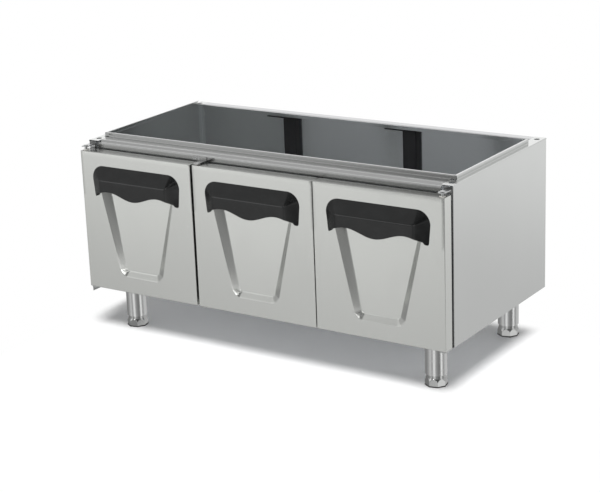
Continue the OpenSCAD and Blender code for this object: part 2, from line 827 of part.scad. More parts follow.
// Top bracket: an angle with its upright leg screwed to the front of the carcass.
module bracket_top_shape(x) {
    color(zinc) placed() translate([x, 0, 0]) difference() {
        union() {
            translate([0, 0, bracket_low]) linear_extrude(bracket_t) bracket_tongue(0);
            block([-bracket_w / 2, -bracket_t, bracket_low - bracket_leg_h], [bracket_w / 2, 0, bracket_low + bracket_t]);
        }
        translate([0, pin_y, bracket_low - 1]) cylinder(d = pin_d + 2 * fit, h = bracket_t + 2, $fn = 48);
        for (z = bracket_screw_z)
            countersunk_hole(0, z);
    }
}

// Hole for a flush screw in a top bracket's upright leg.
module countersunk_hole(x, z) {
    bar_y(screw_d + 2 * fit, x, -bracket_t - 1, 1, z);
    translate([x, -bracket_t - 0.01, z]) rotate([-90, 0, 0])
        cylinder(d1 = 2 * screw_d - 0.5 + 2 * fit, d2 = screw_d + 2 * fit, h = bracket_t - 0.5, $fn = 32);
}

module hinge_bracket_top_left() {
    bracket_top_shape(hinge_spots[0]);
}

// The middle door's bracket lies low, and its wide upright leg is turned up against the rail's front.
module hinge_bracket_top_middle() {
    color(zinc) placed() translate([hinge_spots[1], 0, 0]) difference() {
        union() {
            translate([0, 0, middle_low]) linear_extrude(bracket_t) bracket_tongue(0);
            block([-bracket_w / 2 - middle_leg_extra, -bracket_t, middle_low], [bracket_w / 2, 0, middle_high]);
        }
        translate([0, pin_y, middle_low - 1]) cylinder(d = pin_d + 2 * fit, h = bracket_t + 2, $fn = 48);
        for (x = middle_screw_x)
            countersunk_hole(x, middle_screw_z);
    }
}

middle_screw_x = [for (i = [0.25, 0.72]) -bracket_w / 2 - i * middle_leg_extra];
middle_screw_z = (middle_low + middle_high) / 2;

module hinge_bracket_top_right() {
    bracket_top_shape(hinge_spots[2]);
}

// Bottom bracket: a flat plate screwed up against the floor panel.
module bracket_bottom_shape(x) {
    color(zinc) placed() translate([x, 0, -bracket_t]) difference() {
        linear_extrude(bracket_t) bracket_tongue(bracket_reach);
        translate([0, pin_y, -1]) cylinder(d = pin_d + 2 * fit, h = bracket_t + 2, $fn = 48);
        for (y = bottom_screw_y)
            translate([0, y, -1]) cylinder(d = screw_d + 2 * fit, h = bracket_t + 2, $fn = 32);
    }
}

// The left bottom bracket has a lug along its outer edge.
module hinge_bracket_bottom_left() {
    x = hinge_spots[0] - bracket_w / 2;
    bracket_bottom_shape(hinge_spots[0]);
    color(zinc) placed()
        block([x, pin_y - bracket_nose + bracket_r, -bracket_lug_h], [x + bracket_t, -sheet_t, -half_t]);
}

module hinge_bracket_bottom_middle() {
    bracket_bottom_shape(hinge_spots[1]);
}

module hinge_bracket_bottom_right() {
    bracket_bottom_shape(hinge_spots[2]);
}

// Six pins: three hang from the top brackets and three stand on the bottom ones. Those of the middle
// door are riveted flush, and the others are headed.
module hinge_pins() {
    head_h = 2.5;
    head_d = pin_d + 5;
    color(zinc) placed() {
        for (x = hinge_spots)
            translate([x, pin_y, -bracket_t]) cylinder(d = pin_d, h = bracket_t + pin_depth, $fn = 48);
        translate([hinge_spots[1], pin_y, door_top - pin_depth])
            cylinder(d = pin_d, h = pin_depth + middle_gap + bracket_t, $fn = 48);
        for (x = [hinge_spots[0], hinge_spots[2]]) {
            translate([x, pin_y, bracket_low + bracket_t]) cylinder(d = head_d, h = head_h, $fn = 48);
            translate([x, pin_y, door_top - pin_depth])
                cylinder(d = pin_d, h = pin_depth + top_gap + bracket_t, $fn = 48);
            translate([x, pin_y, -bracket_t - head_h]) cylinder(d = head_d, h = head_h, $fn = 48);
        }
    }
}

// Flush screws in the top brackets and pan-head screws in the bottom ones.
module hinge_screws() {
    grip = 2 * sheet_t + 3;
    color(zinc) placed() {
        for (x = [hinge_spots[0], hinge_spots[2]], z = bracket_screw_z)
            flush_screw(x, z, grip);
        for (x = middle_screw_x)
            flush_screw(hinge_spots[1] + x, middle_screw_z, grip);
        for (x = hinge_spots, y = bottom_screw_y) {
            translate([x, y, -bracket_t]) cylinder(d = screw_d, h = bracket_t + grip + 1, $fn = 32);
            translate([x, y, -bracket_t - 2.8]) cylinder(d = 1.9 * screw_d, h = 2.8, $fn = 32);
        }
    }
}

module flush_screw(x, z, reach) {
    bar_y(screw_d, x, -bracket_t, reach, z);
    translate([x, -bracket_t, z]) rotate([-90, 0, 0])
        cylinder(d1 = 2 * screw_d - 0.5, d2 = screw_d, h = bracket_t - 0.5, $fn = 32);
}

// A magnetic catch: a moulded case under the top rail with two steel poles at its front.
module catch_shape(x) {
    front = door_back + strike_t + seat_gap;
    color(nylon) placed() translate([x, 0, rail_bottom]) difference() {
        union() {
            block([-catch_w / 2 + 9, front + 1.5, -catch_h], [catch_w / 2 - 9, top_rail_return - 2, 0]);
            block([-catch_w / 2, catch_screw_y - 6, -3], [catch_w / 2, catch_screw_y + 6, 0]);
            for (z = [-catch_h + 2.5, -5])
                block([-catch_w / 2 + 11, front, z], [catch_w / 2 - 11, front + 10, z + 2]);
        }
        for (side = [-1, 1])
            translate([side * catch_screw_x, catch_screw_y, -4])
                cylinder(d = handle_screw_d + 2 * fit, h = 5, $fn = 32);
    }
}

module catch_left() {
    catch_shape(catch_spots[0]);
}

module catch_middle() {
    catch_shape(catch_spots[1]);
}

module catch_right() {
    catch_shape(catch_spots[2]);
}

module catch_screws() {
    color(zinc) placed() for (x = catch_spots, side = [-1, 1])
        translate([x + side * catch_screw_x, catch_screw_y, rail_bottom - 3]) {
            cylinder(d = handle_screw_d, h = 3 + sheet_t + 3, $fn = 32);
            translate([0, 0, -2]) cylinder(d = 1.9 * handle_screw_d, h = 2, $fn = 32);
        }
}

tube_low = -leg_h + foot_h + seat_gap;
tube_inner_d = leg_d - 2 * leg_wall;
socket_h = 14;
socket_wall = 4;

module leg_at(i) {
    placed() translate([leg_spots[i][0], leg_spots[i][1], 0]) children();
}

// Mounting plate of a leg, with rounded corners and a socket that the tube slides over.
module leg_plate_shape(i) {
    color(polished) leg_at(i) difference() {
        union() {
            translate([0, 0, -leg_plate_t]) linear_extrude(leg_plate_t) hull()
                for (b = [[-1, -1], [-1, 1], [1, 1], [1, -1]])
                    translate(b * (leg_plate_w / 2 - leg_plate_r)) circle(r = leg_plate_r, $fn = 32);
            translate([0, 0, -leg_plate_t - socket_h])
                cylinder(d = tube_inner_d - 2 * fit, h = socket_h, $fn = 64);
        }
        translate([0, 0, -leg_plate_t - socket_h - 1])
            cylinder(d = tube_inner_d - 2 * socket_wall, h = socket_h + 1, $fn = 64);
        for (b = bolt_spots)
            translate([b[0], b[1], -leg_plate_t - 1]) cylinder(d = leg_bolt_d + 2 * fit, h = leg_plate_t + 2, $fn = 32);
    }
}

module leg_plate_front_left() {
    leg_plate_shape(0);
}

module leg_plate_front_right() {
    leg_plate_shape(1);
}

module leg_plate_back_left() {
    leg_plate_shape(2);
}

module leg_plate_back_right() {
    leg_plate_shape(3);
}

module leg_tube_shape(i) {
    color(polished) leg_at(i) difference() {
        translate([0, 0, tube_low]) cylinder(d = leg_d, h = -leg_plate_t - tube_low, $fn = 96);
        translate([0, 0, tube_low - 1]) cylinder(d = tube_inner_d, h = leg_h, $fn = 96);
    }
}

module leg_tube_front_left() {
    leg_tube_shape(0);
}

module leg_tube_front_right() {
    leg_tube_shape(1);
}

module leg_tube_back_left() {
    leg_tube_shape(2);
}

module leg_tube_back_right() {
    leg_tube_shape(3);
}

// Moulded inserts in the lower ends of the tubes, in which the stems of the feet run.
module leg_inserts() {
    color(black) for (i = [0 : 3]) leg_at(i) difference() {
        translate([0, 0, tube_low]) cylinder(d = tube_inner_d - 2 * fit, h = insert_h, $fn = 64);
        translate([0, 0, tube_low - 1]) cylinder(d = stem_d + 2 * fit, h = insert_h + 2, $fn = 48);
    }
}

// Hexagon bolts that hold the leg plates to the floor panel.
module leg_bolts() {
    head_h = 0.65 * leg_bolt_d;
    color(zinc) for (i = [0 : 3], b = bolt_spots) leg_at(i)
        translate([b[0], b[1], -leg_plate_t]) {
            translate([0, 0, -head_h]) cylinder(d = 1.8 * leg_bolt_d, h = head_h, $fn = 6);
            cylinder(d = leg_bolt_d, h = leg_plate_t + sheet_t + 5, $fn = 32);
        }
}

// An adjustable foot: a neck that is turned to widen downwards, cut with eight flats, and its stem.
module foot_shape(i) {
    base_z = -leg_h + pad_t;
    top_z = -leg_h + foot_h;
    neck_r = foot_neck_d / 2;
    base_r = foot_w / 2 / cos(22.5) + 1;
    flare_z = top_z - foot_collar_h;
    color(polished) leg_at(i) {
        intersection() {
            rotate_extrude($fn = 96) polygon([
                [0, base_z], [base_r, base_z], [base_r, base_z + foot_edge_h],
                [neck_r, flare_z], [neck_r, top_z], [0, top_z]]);
            translate([0, 0, base_z - 1]) rotate(foot_turn) cylinder(d = foot_w / cos(22.5), h = foot_h, $fn = 8);
        }
        translate([0, 0, top_z - 1]) cylinder(d = stem_d, h = stem_l + 1, $fn = 48);
    }
}

module foot_front_left() {
    foot_shape(0);
}

module foot_front_right() {
    foot_shape(1);
}

module foot_back_left() {
    foot_shape(2);
}

module foot_back_right() {
    foot_shape(3);
}

module pad_shape(i) {
    color(black) leg_at(i)
        translate([0, 0, -leg_h]) rotate(foot_turn) cylinder(d = (foot_w + 1.6) / cos(22.5), h = pad_t, $fn = 8);
}

module pad_front_left() {
    pad_shape(0);
}

module pad_front_right() {
    pad_shape(1);
}

module pad_back_left() {
    pad_shape(2);
}

module pad_back_right() {
    pad_shape(3);
}

side_panel_left();
side_panel_right();
back_panel();
floor_panel();
front_top_rail();
front_bottom_rail();
mullion_left();
mullion_right();
back_post_left();
back_post_right();
back_rivets();
door_left_skin();
door_left_liner();
door_left_handle();
door_left_handle_screws();
door_left_bushes();
door_left_strike();
door_middle_skin();
door_middle_liner();
door_middle_handle();
door_middle_handle_screws();
door_middle_bushes();
door_middle_strike();
door_right_skin();
door_right_liner();
door_right_handle();
door_right_handle_screws();
door_right_bushes();
door_right_strike();
hinge_bracket_top_left();
hinge_bracket_top_middle();
hinge_bracket_top_right();
hinge_bracket_bottom_left();
hinge_bracket_bottom_middle();
hinge_bracket_bottom_right();
hinge_pins();
hinge_screws();
catch_left();
catch_middle();
catch_right();
catch_screws();
leg_plate_front_left();
leg_plate_front_right();
leg_plate_back_left();
leg_plate_back_right();
leg_tube_front_left();
leg_tube_front_right();
leg_tube_back_left();
leg_tube_back_right();
leg_inserts();
leg_bolts();
foot_front_left();
foot_front_right();
foot_back_left();
foot_back_right();
pad_front_left();
pad_front_right();
pad_back_left();
pad_back_right();
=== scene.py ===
import math

import bmesh
import bpy
import numpy as np
from mathutils import Matrix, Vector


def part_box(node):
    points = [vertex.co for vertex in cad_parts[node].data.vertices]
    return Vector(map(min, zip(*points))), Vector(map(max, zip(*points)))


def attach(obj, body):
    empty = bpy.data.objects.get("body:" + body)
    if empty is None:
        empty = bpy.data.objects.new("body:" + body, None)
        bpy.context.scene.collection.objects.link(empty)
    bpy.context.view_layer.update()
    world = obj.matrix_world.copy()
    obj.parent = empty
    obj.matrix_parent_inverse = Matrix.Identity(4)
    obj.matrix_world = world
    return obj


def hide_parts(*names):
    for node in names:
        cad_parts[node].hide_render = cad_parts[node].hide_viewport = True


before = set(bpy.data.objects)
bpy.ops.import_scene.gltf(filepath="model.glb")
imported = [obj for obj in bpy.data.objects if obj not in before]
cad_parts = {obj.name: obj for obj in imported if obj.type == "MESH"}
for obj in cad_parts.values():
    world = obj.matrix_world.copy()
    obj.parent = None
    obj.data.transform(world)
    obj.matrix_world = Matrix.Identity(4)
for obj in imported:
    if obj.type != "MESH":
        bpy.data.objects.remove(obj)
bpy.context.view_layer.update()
scene = bpy.context.scene
scene.view_settings.view_transform = "Standard"


# The camera
#
# It stands to the right of the cabinet and above it, a little rolled, with a long lens, as the photograph
# was taken. The picture is 600 pixels wide, and the lens's axis meets it 50 pixels left of its middle.
PICTURE_WIDTH = 600.0
FOCAL_PIXELS = 1664.8
AXIS_OFFSET = 50.0
STAND = (2.527, -3.8731, 1.7168)
yaw, pitch, roll = np.radians((35.29, 17.33, -2.71))
looking = np.array((-math.sin(yaw) * math.cos(pitch), math.cos(yaw) * math.cos(pitch), -math.sin(pitch)))
across = np.array((math.cos(yaw), math.sin(yaw), 0.0))
upward = np.cross(across, looking)
turned_across = math.cos(roll) * across + math.sin(roll) * upward
turned_upward = -math.sin(roll) * across + math.cos(roll) * upward
lens = bpy.data.cameras.new("camera")
lens.sensor_width = 36.0
lens.lens = FOCAL_PIXELS / PICTURE_WIDTH * lens.sensor_width
lens.shift_x = AXIS_OFFSET / PICTURE_WIDTH
lens.clip_end = 60.0
camera = bpy.data.objects.new("camera", lens)
scene.collection.objects.link(camera)
camera.matrix_world = Matrix.Translation(STAND) @ Matrix(
    np.column_stack((turned_across, turned_upward, -looking)).tolist()).to_4x4()
scene.camera = camera


# The room
#
# Matt surfaces get one plain level of light from the room. Bright sheet mirrors its walls, which stand
# round the cabinet as lighter and darker panels, under a grey ceiling.
class Value:
    """A socket of a node tree. Python's operators on it add Math nodes."""

    def __init__(self, maker, socket):
        self.maker = maker
        self.socket = socket

    def math(self, operation, *others):
        return self.maker.node("ShaderNodeMath", (self, *others), operation=operation)

    def __add__(self, other):
        return self.math("ADD", other)

    def __sub__(self, other):
        return self.math("SUBTRACT", other)

    def __mul__(self, other):
        return self.math("MULTIPLY", other)

    def __rsub__(self, other):
        return self.maker.node("ShaderNodeMath", (other, self), operation="SUBTRACT")

    __radd__ = __add__
    __rmul__ = __mul__

    def step(self, low, high):
        """0 below low, 1 above high, and a smooth S between them."""
        return self.maker.node("ShaderNodeMapRange", (self, low, high, 0.0, 1.0),
                               interpolation_type="SMOOTHSTEP")


class Maker:
    """Adds nodes to one tree: a type, its settings, and values or links for its sockets."""

    def __init__(self, tree):
        self.tree = tree
        tree.nodes.clear()

    def node(self, kind, inputs=(), out=0, stops=None, **settings):
        made = self.tree.nodes.new(kind)
        for name, setting in settings.items():
            setattr(made, name, setting)
        for i, (place, colour) in enumerate(stops or ()):
            stop = made.color_ramp.elements[i] if i < 2 else made.color_ramp.elements.new(place)
            stop.position = place
            stop.color = (*colour, 1.0)
        for key, value in inputs.items() if isinstance(inputs, dict) else enumerate(inputs):
            socket = made.inputs[key]
            if isinstance(value, Value):
                self.tree.links.new(value.socket, socket)
            else:
                socket.default_value = (*value, 1.0) if socket.type == "RGBA" and len(value) == 3 else value
        return Value(self, made.outputs[out]) if made.outputs else None

    def parts(self, vector, axes):
        """The vector's lengths along the axes that are named, such as "XY"."""
        return [self.node("ShaderNodeSeparateXYZ", (vector,), out=axis) for axis in axes]

    def grey(self, level):
        """A colour of one level in red, green and blue."""
        return self.node("ShaderNodeCombineXYZ", (level, level, level))

    def blend(self, factor, a, b):
        """Colour a where factor is 0 and colour b where it is 1."""
        return self.node("ShaderNodeMix", {0: factor, 6: a, 7: b}, out=2, data_type="RGBA")

    def place(self, scale=(1.0, 1.0, 1.0), turn=(0.0, 0.0, 0.0)):
        """The place on the cabinet in metres, turned and scaled."""
        where = self.node("ShaderNodeTexCoord", out="Object")
        return self.node("ShaderNodeMapping", {"Vector": where, "Rotation": turn, "Scale": scale})

    def noise(self, where, detail=2.0, roughness=0.5):
        return self.node("ShaderNodeTexNoise", {"Vector": where, "Scale": 1.0, "Detail": detail,
                                                "Roughness": roughness})


# Each row gives a bearing in degrees from +X and the wall's brightness there, low in the room and high.
WALLS = (
    (-180, 0.38, 0.4), (-155, 0.5, 0.5), (-144, 0.62, 0.75), (-132, 0.85, 0.78), (-121, 0.93, 0.78),
    (-117, 0.93, 0.05), (-113, 0.85, 0.05), (-106, 0.45, 0.05), (-99, 0.5, 0.05), (-91, 1.3, 0.05),
    (-76, 1.4, 0.05), (-67, 0.6, 0.05), (-34, 0.32, 0.08), (-17, 0.35, 0.15), (-10, 1.5, 0.6),
    (2, 1.5, 0.9), (9, 0.7, 0.9), (18, 0.5, 0.9), (26, 0.6, 0.9), (40, 0.92, 0.9), (70, 0.95, 0.9),
    (100, 0.7, 1.2), (140, 0.38, 1.2), (165, 0.38, 0.8), (180, 0.38, 0.4))
BRIGHTEST = 2.0
# Heights are sines of the elevation. Above each, the walls change over to what the name says.
EYE_LEVEL, HIGH_WALLS, CEILING = (-0.14, -0.04), (0.06, 0.16), (0.30, 0.60)
EYE_LEVEL_GREY, CEILING_GREY, GREY_SHARE = 0.38, 0.6, 0.5
# Two round windows add to the walls: a small, bright one for the handles' ends, and a wide, faint one. Each
# row gives bearing, elevation, half width and blur in degrees, and then brightness.
WINDOWS = ((-92, 12.5, 5.5, 1, 5.5), (-127, 4, 9, 3, 0.6))
MATT_LEVEL = 0.31

room = bpy.data.worlds.new("room")
scene.world = room
room.use_nodes = True
air = Maker(room.node_tree)
direction = air.node("ShaderNodeTexCoord", out="Generated")
ahead_x, ahead_y, height = air.parts(direction, "XYZ")
bearing = ahead_y.math("ARCTAN2", ahead_x) * (0.5 / math.pi) + 0.5
low_walls, high_walls = [air.node("ShaderNodeValToRGB", (bearing,), stops=[
    ((row[0] + 180) / 360, (row[column] / BRIGHTEST,) * 3) for row in WALLS]) * BRIGHTEST
    for column in (1, 2)]


def toward(level, other, share):
    """level where share is 0, other where it is 1, and a straight mix between."""
    return level * (1.0 - share) + share * other


def window(heading, lift, half, blur):
    """1 within half degrees of a direction given by bearing and elevation, fading to 0 over twice blur. The
    fade follows the cosine of the angle to that direction."""
    heading, lift, half, blur = np.radians((heading, lift, half, blur))
    centre = (math.cos(heading) * math.cos(lift), math.sin(heading) * math.cos(lift), math.sin(lift))
    cosine = air.node("ShaderNodeVectorMath", {0: direction, 1: centre}, out="Value", operation="DOT_PRODUCT")
    return cosine.step(math.cos(half + blur), math.cos(half - blur))


walls = toward(low_walls, EYE_LEVEL_GREY, height.step(*EYE_LEVEL) * GREY_SHARE)
walls = toward(walls, high_walls, height.step(*HIGH_WALLS))
walls = toward(walls, CEILING_GREY, height.step(*CEILING) * GREY_SHARE)
for *aim, brightness in WINDOWS:
    walls = walls + window(*aim) * brightness
seen = air.node("ShaderNodeLightPath", out="Is Camera Ray")
mirrored = air.node("ShaderNodeLightPath", out="Is Glossy Ray")
shown = air.blend(mirrored, (MATT_LEVEL,) * 3, air.grey(walls))
air.node("ShaderNodeOutputWorld", (air.node("ShaderNodeBackground", (
    air.blend(seen, shown, (1.0, 1.0, 1.0)), 1.0)),))


# The floor and the lamp
#
# The floor is a wide sheet of white paper that keeps the cabinet's shadow, except where white is painted over
# it at its left and back; in the metal it shows painted shade near the cabinet and a painted dark patch far
# off. The lamp is a broad, soft one overhead, a little to the front right, and doesn't show in the metal.
FLOOR_HALF = 14.0
CABINET_HALF_WIDTH, CABINET_HALF_DEPTH = 0.6, 0.3
# Pairs are the distances in metres between which one thing fades into the next.
MIRRORED_NEAR, MIRRORED_FAR, NEAR_TO_FAR = 0.72, 1.02, (0.0, 2.2)
PATCH_SLANT, PATCH_DARKENS, PAPER_TO_PATCH = 0.9, 0.45, (1.5, 2.0)
SHADOW_LEFT, SHADOW_BACK, PAPER_TO_WHITE = (0.655, 0.71), (0.27, 0.35), (1.3, 3.2)
LAMP_STRENGTH, LAMP_WIDTH = 2.85, math.radians(20.0)
LAMP_TILT_X, LAMP_TILT_Y = math.radians(29.0), math.radians(13.5)

floor_corners = [(x * FLOOR_HALF, y * FLOOR_HALF, 0.0) for x, y in ((-1, -1), (1, -1), (1, 1), (-1, 1))]
floor_mesh = bpy.data.meshes.new("floor")
floor_mesh.from_pydata(floor_corners, [], [(0, 1, 2, 3)])
floor = bpy.data.objects.new("floor", floor_mesh)
scene.collection.objects.link(floor)
paper = bpy.data.materials.new("white_paper")
paper.use_nodes = True
sheet = Maker(paper.node_tree)
spot = sheet.place()
floor_x, floor_y = sheet.parts(spot, "XY")
away = sheet.node("ShaderNodeVectorMath", (spot,), out="Value", operation="LENGTH")
# How far a spot lies outside the cabinet's outline, in x or in y, whichever is more.
beside = (floor_x.math("ABSOLUTE") - CABINET_HALF_WIDTH).math(
    "MAXIMUM", floor_y.math("ABSOLUTE") - CABINET_HALF_DEPTH).math("MAXIMUM", 0.0)
# In metal the paper darkens towards the cabinet, a painted reflection of shade, and far off at the front
# right a darker patch is painted into what the metal shows, a painted reflection with nothing there to the
# camera.
painted_dark_patch = (floor_x - floor_y * PATCH_SLANT).step(*PAPER_TO_PATCH)
level = (beside.step(*NEAR_TO_FAR) * (MIRRORED_FAR - MIRRORED_NEAR) + MIRRORED_NEAR) * (
    1.0 - painted_dark_patch * PATCH_DARKENS)
matt = sheet.node("ShaderNodeBsdfDiffuse", ((0.95, 0.95, 0.95),))
through = sheet.node("ShaderNodeBsdfTransparent", (sheet.grey(level),))
glossy = sheet.node("ShaderNodeLightPath", out="Is Glossy Ray")
near = sheet.node("ShaderNodeMixShader", (glossy, matt, through))
white = sheet.node("ShaderNodeEmission", ((1.0, 1.0, 1.0), 1.0))
# To the camera the paper is plain white far away, and past lines at the left and back white is painted over
# the cabinet's shadow, cutting it off there.
shadow_painted_out = (floor_x * -1.0).step(*SHADOW_LEFT).math("MAXIMUM", floor_y.step(*SHADOW_BACK))
by_camera = sheet.node("ShaderNodeLightPath", out="Is Camera Ray")
plain = away.step(*PAPER_TO_WHITE).math("MAXIMUM", shadow_painted_out) * by_camera
sheet.node("ShaderNodeOutputMaterial", (sheet.node("ShaderNodeMixShader", (plain, near, white)),))
floor_mesh.materials.append(paper)

light = bpy.data.lights.new("overhead", "SUN")
light.energy = LAMP_STRENGTH
light.angle = LAMP_WIDTH
lamp = bpy.data.objects.new("overhead", light)
scene.collection.objects.link(lamp)
lamp.matrix_world = Matrix.Translation((0.0, 0.0, 3.0)) @ Matrix.Rotation(
    LAMP_TILT_X, 4, "X") @ Matrix.Rotation(LAMP_TILT_Y, 4, "Y")
lamp.visible_glossy = False


# The carcass
#
# The side panels, rails, mullions and back are folded from 1.2 mm satin-brushed stainless sheet and spot
# welded or riveted together. The brushing runs up the panels and along the rails.
FINE_LINES, BROAD_LINES = (6.0, 1400.0), (1.5, 110.0)  # waves in a metre, along the brushing and across it
EDGE_ROUND = 0.0003
SHARP_EDGE, FLAT_EDGE = math.radians(32.0), math.radians(0.2)
SAME_POINT = 0.000002
ALONG_X, UPRIGHT = (1, 0, 0), (0, 0, 1)


def metal(name, tint, roughness, grain, depth=0.02, cloud=0.05, smear=0.05, painted_shade=1.0, faces=(0.0, 0.0, 1.0)):
    """Brushed sheet: fine lines stretched along the grain, a slow drift in tone and faint wiping smears.
    On the side that faces the given way, its colour is multiplied by painted_shade: shade is painted into the
    colour there."""
    material = bpy.data.materials.new(name)
    material.use_nodes = True
    m = Maker(material.node_tree)
    fine, broad = [m.noise(m.place(tuple(lines[0] if along else lines[1] for along in grain)))
                   for lines in (FINE_LINES, BROAD_LINES)]
    drift = m.noise(m.place((3.1, 3.1, 3.1)), detail=1.0)
    wiped = m.noise(m.place((9.0, 9.0, 5.0), turn=(0.3, 0.5, 0.2)), detail=3.0, roughness=0.6).step(0.5, 0.75)
    tone = (fine - 0.5) * 0.10 + (broad - 0.5) * 0.05 + (drift - 0.5) * cloud + 0.5
    colour = m.node("ShaderNodeValToRGB", (tone,), stops=(
        (0.0, tuple(0.72 * c for c in tint)), (1.0, tuple(min(1.0, 1.28 * c) for c in tint))))
    # Painted shade: faces turned the given way are darkened in colour.
    if painted_shade != 1.0:
        facing = m.node("ShaderNodeVectorMath", {0: m.node("ShaderNodeNewGeometry", out="Normal"), 1: faces},
                        out="Value", operation="DOT_PRODUCT")
        painted_shade_colour = m.node("ShaderNodeMix", {0: 1.0, 6: colour, 7: (painted_shade, painted_shade, painted_shade)}, out=2, data_type="RGBA",
                        blend_type="MULTIPLY")
        colour = m.blend(facing.step(0.6, 0.9), colour, painted_shade_colour)
    shader = m.node("ShaderNodeBsdfPrincipled", {
        "Base Color": colour, "Metallic": 1.0,
        "Roughness": (fine - 0.5) * 0.04 + (broad - 0.5) * 0.03 + wiped * smear + roughness,
        "Normal": m.node("ShaderNodeBump", {"Strength": depth, "Distance": 0.0002, "Height": fine})})
    m.node("ShaderNodeOutputMaterial", (shader,))
    return material


def dress(names, material):
    """Gives the part's own solids a material, and the small round edges that real pieces have: where two
    faces meet at more than SHARP_EDGE, the edge is rounded over EDGE_ROUND."""
    for name in names:
        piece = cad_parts[name]
        piece.data.materials.clear()
        piece.data.materials.append(material)
        if "custom_normal" in piece.data.attributes:
            piece.data.attributes.remove(piece.data.attributes["custom_normal"])
        piece.data.polygons.foreach_set("use_smooth", np.ones(len(piece.data.polygons), bool))
        weld = piece.modifiers.new("weld", "WELD")
        weld.merge_threshold = SAME_POINT
        plane = piece.modifiers.new("planes", "DECIMATE")
        plane.decimate_type = "DISSOLVE"
        plane.angle_limit = FLAT_EDGE
        bevel = piece.modifiers.new("edges", "BEVEL")
        bevel.width = EDGE_ROUND
        bevel.segments = 2
        bevel.limit_method = "ANGLE"
        bevel.angle_limit = SHARP_EDGE
        bevel.use_clamp_overlap = True
        shade = piece.modifiers.new("shading", "WEIGHTED_NORMAL")
        shade.keep_sharp = True


# Painted shade and light: the uprights' front faces are painted darker, the level rails are a darker copy of
# the same sheet, and the back panel is a much lighter copy whose top faces are painted darker.
upright_satin = metal("satin_sheet_upright", (0.64, 0.65, 0.64), 0.22, UPRIGHT, smear=0.03, painted_shade=0.35,
                      faces=(0.0, -1.0, 0.0))
level_satin = metal("satin_sheet_level", (0.49, 0.495, 0.49), 0.20, ALONG_X, smear=0.03)
inside_satin = metal("satin_sheet_inside", (0.90, 0.93, 0.95), 0.17, UPRIGHT, smear=0.03, painted_shade=0.6)
dress(("side_panel_left", "side_panel_right", "mullion_left", "mullion_right"), upright_satin)
dress(("front_top_rail", "front_bottom_rail"), level_satin)
dress(("back_panel",), inside_satin)


# The back posts
#
# Two steel channels stand against the back panel under its flange, each with a tab beside
# its top. Their near-black colour is painted shade. It is finely pebbled, and lighter and duller in patches
# where it has been rubbed.
posts_painted_shade = bpy.data.materials.new("near_black_painted_shade")
posts_painted_shade.use_nodes = True
m = Maker(posts_painted_shade.node_tree)
pebbles = m.noise(m.place((700.0, 700.0, 700.0)))
rub = m.noise(m.place((40.0, 40.0, 6.0)), detail=4.0).step(0.45, 0.8)
# The near-black base colour is painted shade.
shader = m.node("ShaderNodeBsdfPrincipled", {
    "Base Color": m.blend(rub, (0.009, 0.009, 0.010), (0.022, 0.022, 0.023)),
    "Roughness": rub * 0.12 + 0.38,
    "Normal": m.node("ShaderNodeBump", {"Strength": 0.08, "Distance": 0.0002, "Height": pebbles})})
m.node("ShaderNodeOutputMaterial", (shader,))
dress(("back_post_left", "back_post_right"), posts_painted_shade)


# The door fronts
#
# Each door is a pan of satin sheet whose front is pressed in one stroke: a recess that tapers downwards,
# deep under the handle and shallow at its foot, with soft bends where its walls meet the front.
# Across, lengths are from the door's middle line. Upwards, they are from the underside of the body.
BODY_BOTTOM = 0.14
SHEET = 0.0012
DOOR_EDGE_BEND = 0.0018
RECESS_FOOT, RECESS_TOP = 0.050, 0.352
# Heights, and then the recess's half widths there.
MOUTH = ((RECESS_FOOT, 0.0533, 0.0678, RECESS_TOP), (0.056, 0.064, 0.0785, 0.142))
BED = ((RECESS_FOOT, 0.065, 0.0735, 0.346), (0.042, 0.0517, 0.0602, 0.122))
SIDES_START = MOUTH[0][2]
# A wall's run is its width as seen from the front.
SIDE_RUN, FOOT_RUN, TOP_RUN = 0.020, 0.015, 0.006
# Two facets cut each lower corner: one 45 degrees off level and, below it, one 22.5 degrees off level.
UPPER_FACET, UPPER_FACET_RUN = 0.0107, 0.0240
LOWER_FACET, LOWER_FACET_RUN = 0.02475, 0.0155
FACET_COS, FACET_SIN = 0.924, 0.383
FOOT_DEPTH, DEEPENING = 0.008, 0.017
# The bends, as shares of a wall's run: where two walls meet, at the mouth and at the recess's floor.
CREASE, MOUTH_BEND, BED_BEND = 0.02, 0.018, 0.025
# Half the widths of the strips of finer columns along those two bends.
MOUTH_STRIP, BED_STRIP = 0.002, 0.003


def smooth_positive(f, width):
    """f where it is above 0 and 0 where it is below, with a bend between: half the sum of f and the root of
    its square plus four times the width's square."""
    return (f + np.sqrt(f * f + 4.0 * width * width)) / 2.0


def mouth_half(z):
    """Half the width of the recess on the door's front at height z, straight between the corners of MOUTH."""
    return np.interp(z, *MOUTH)


def bed_half(z):
    """Half the width of the recess's floor at height z, straight between the corners of BED."""
    return np.interp(z, *BED)


def recess_depth(x, z):
    """Depth of the pressing at (x, z): the sloping floor's depth times a share from 0 to 1. The share is how
    far the point lies inside the mouth, in runs of the nearest wall: a side, the foot, the upper or the
    lower facet of a corner, or the top. The least of these is taken softly, as minus the logarithm of the
    sum of exponentials, and the share bends smoothly at 0 and at 1."""
    side = np.abs(x)
    runs = np.stack((
        (mouth_half(np.maximum(z, SIDES_START)) - side) / SIDE_RUN,
        (z - RECESS_FOOT) / FOOT_RUN,
        (UPPER_FACET + z - side) / UPPER_FACET_RUN,
        (FACET_COS * z - FACET_SIN * side - LOWER_FACET) / LOWER_FACET_RUN,
        (RECESS_TOP - z) / TOP_RUN))
    share = -CREASE * np.log(np.sum(np.exp(-np.clip(runs, -4.0, 4.0) / CREASE), axis=0))
    share = smooth_positive(share, MOUTH_BEND) - smooth_positive(share - 1.0, BED_BEND)
    return (FOOT_DEPTH + (z - RECESS_FOOT) * DEEPENING / (RECESS_TOP - RECESS_FOOT)) * share


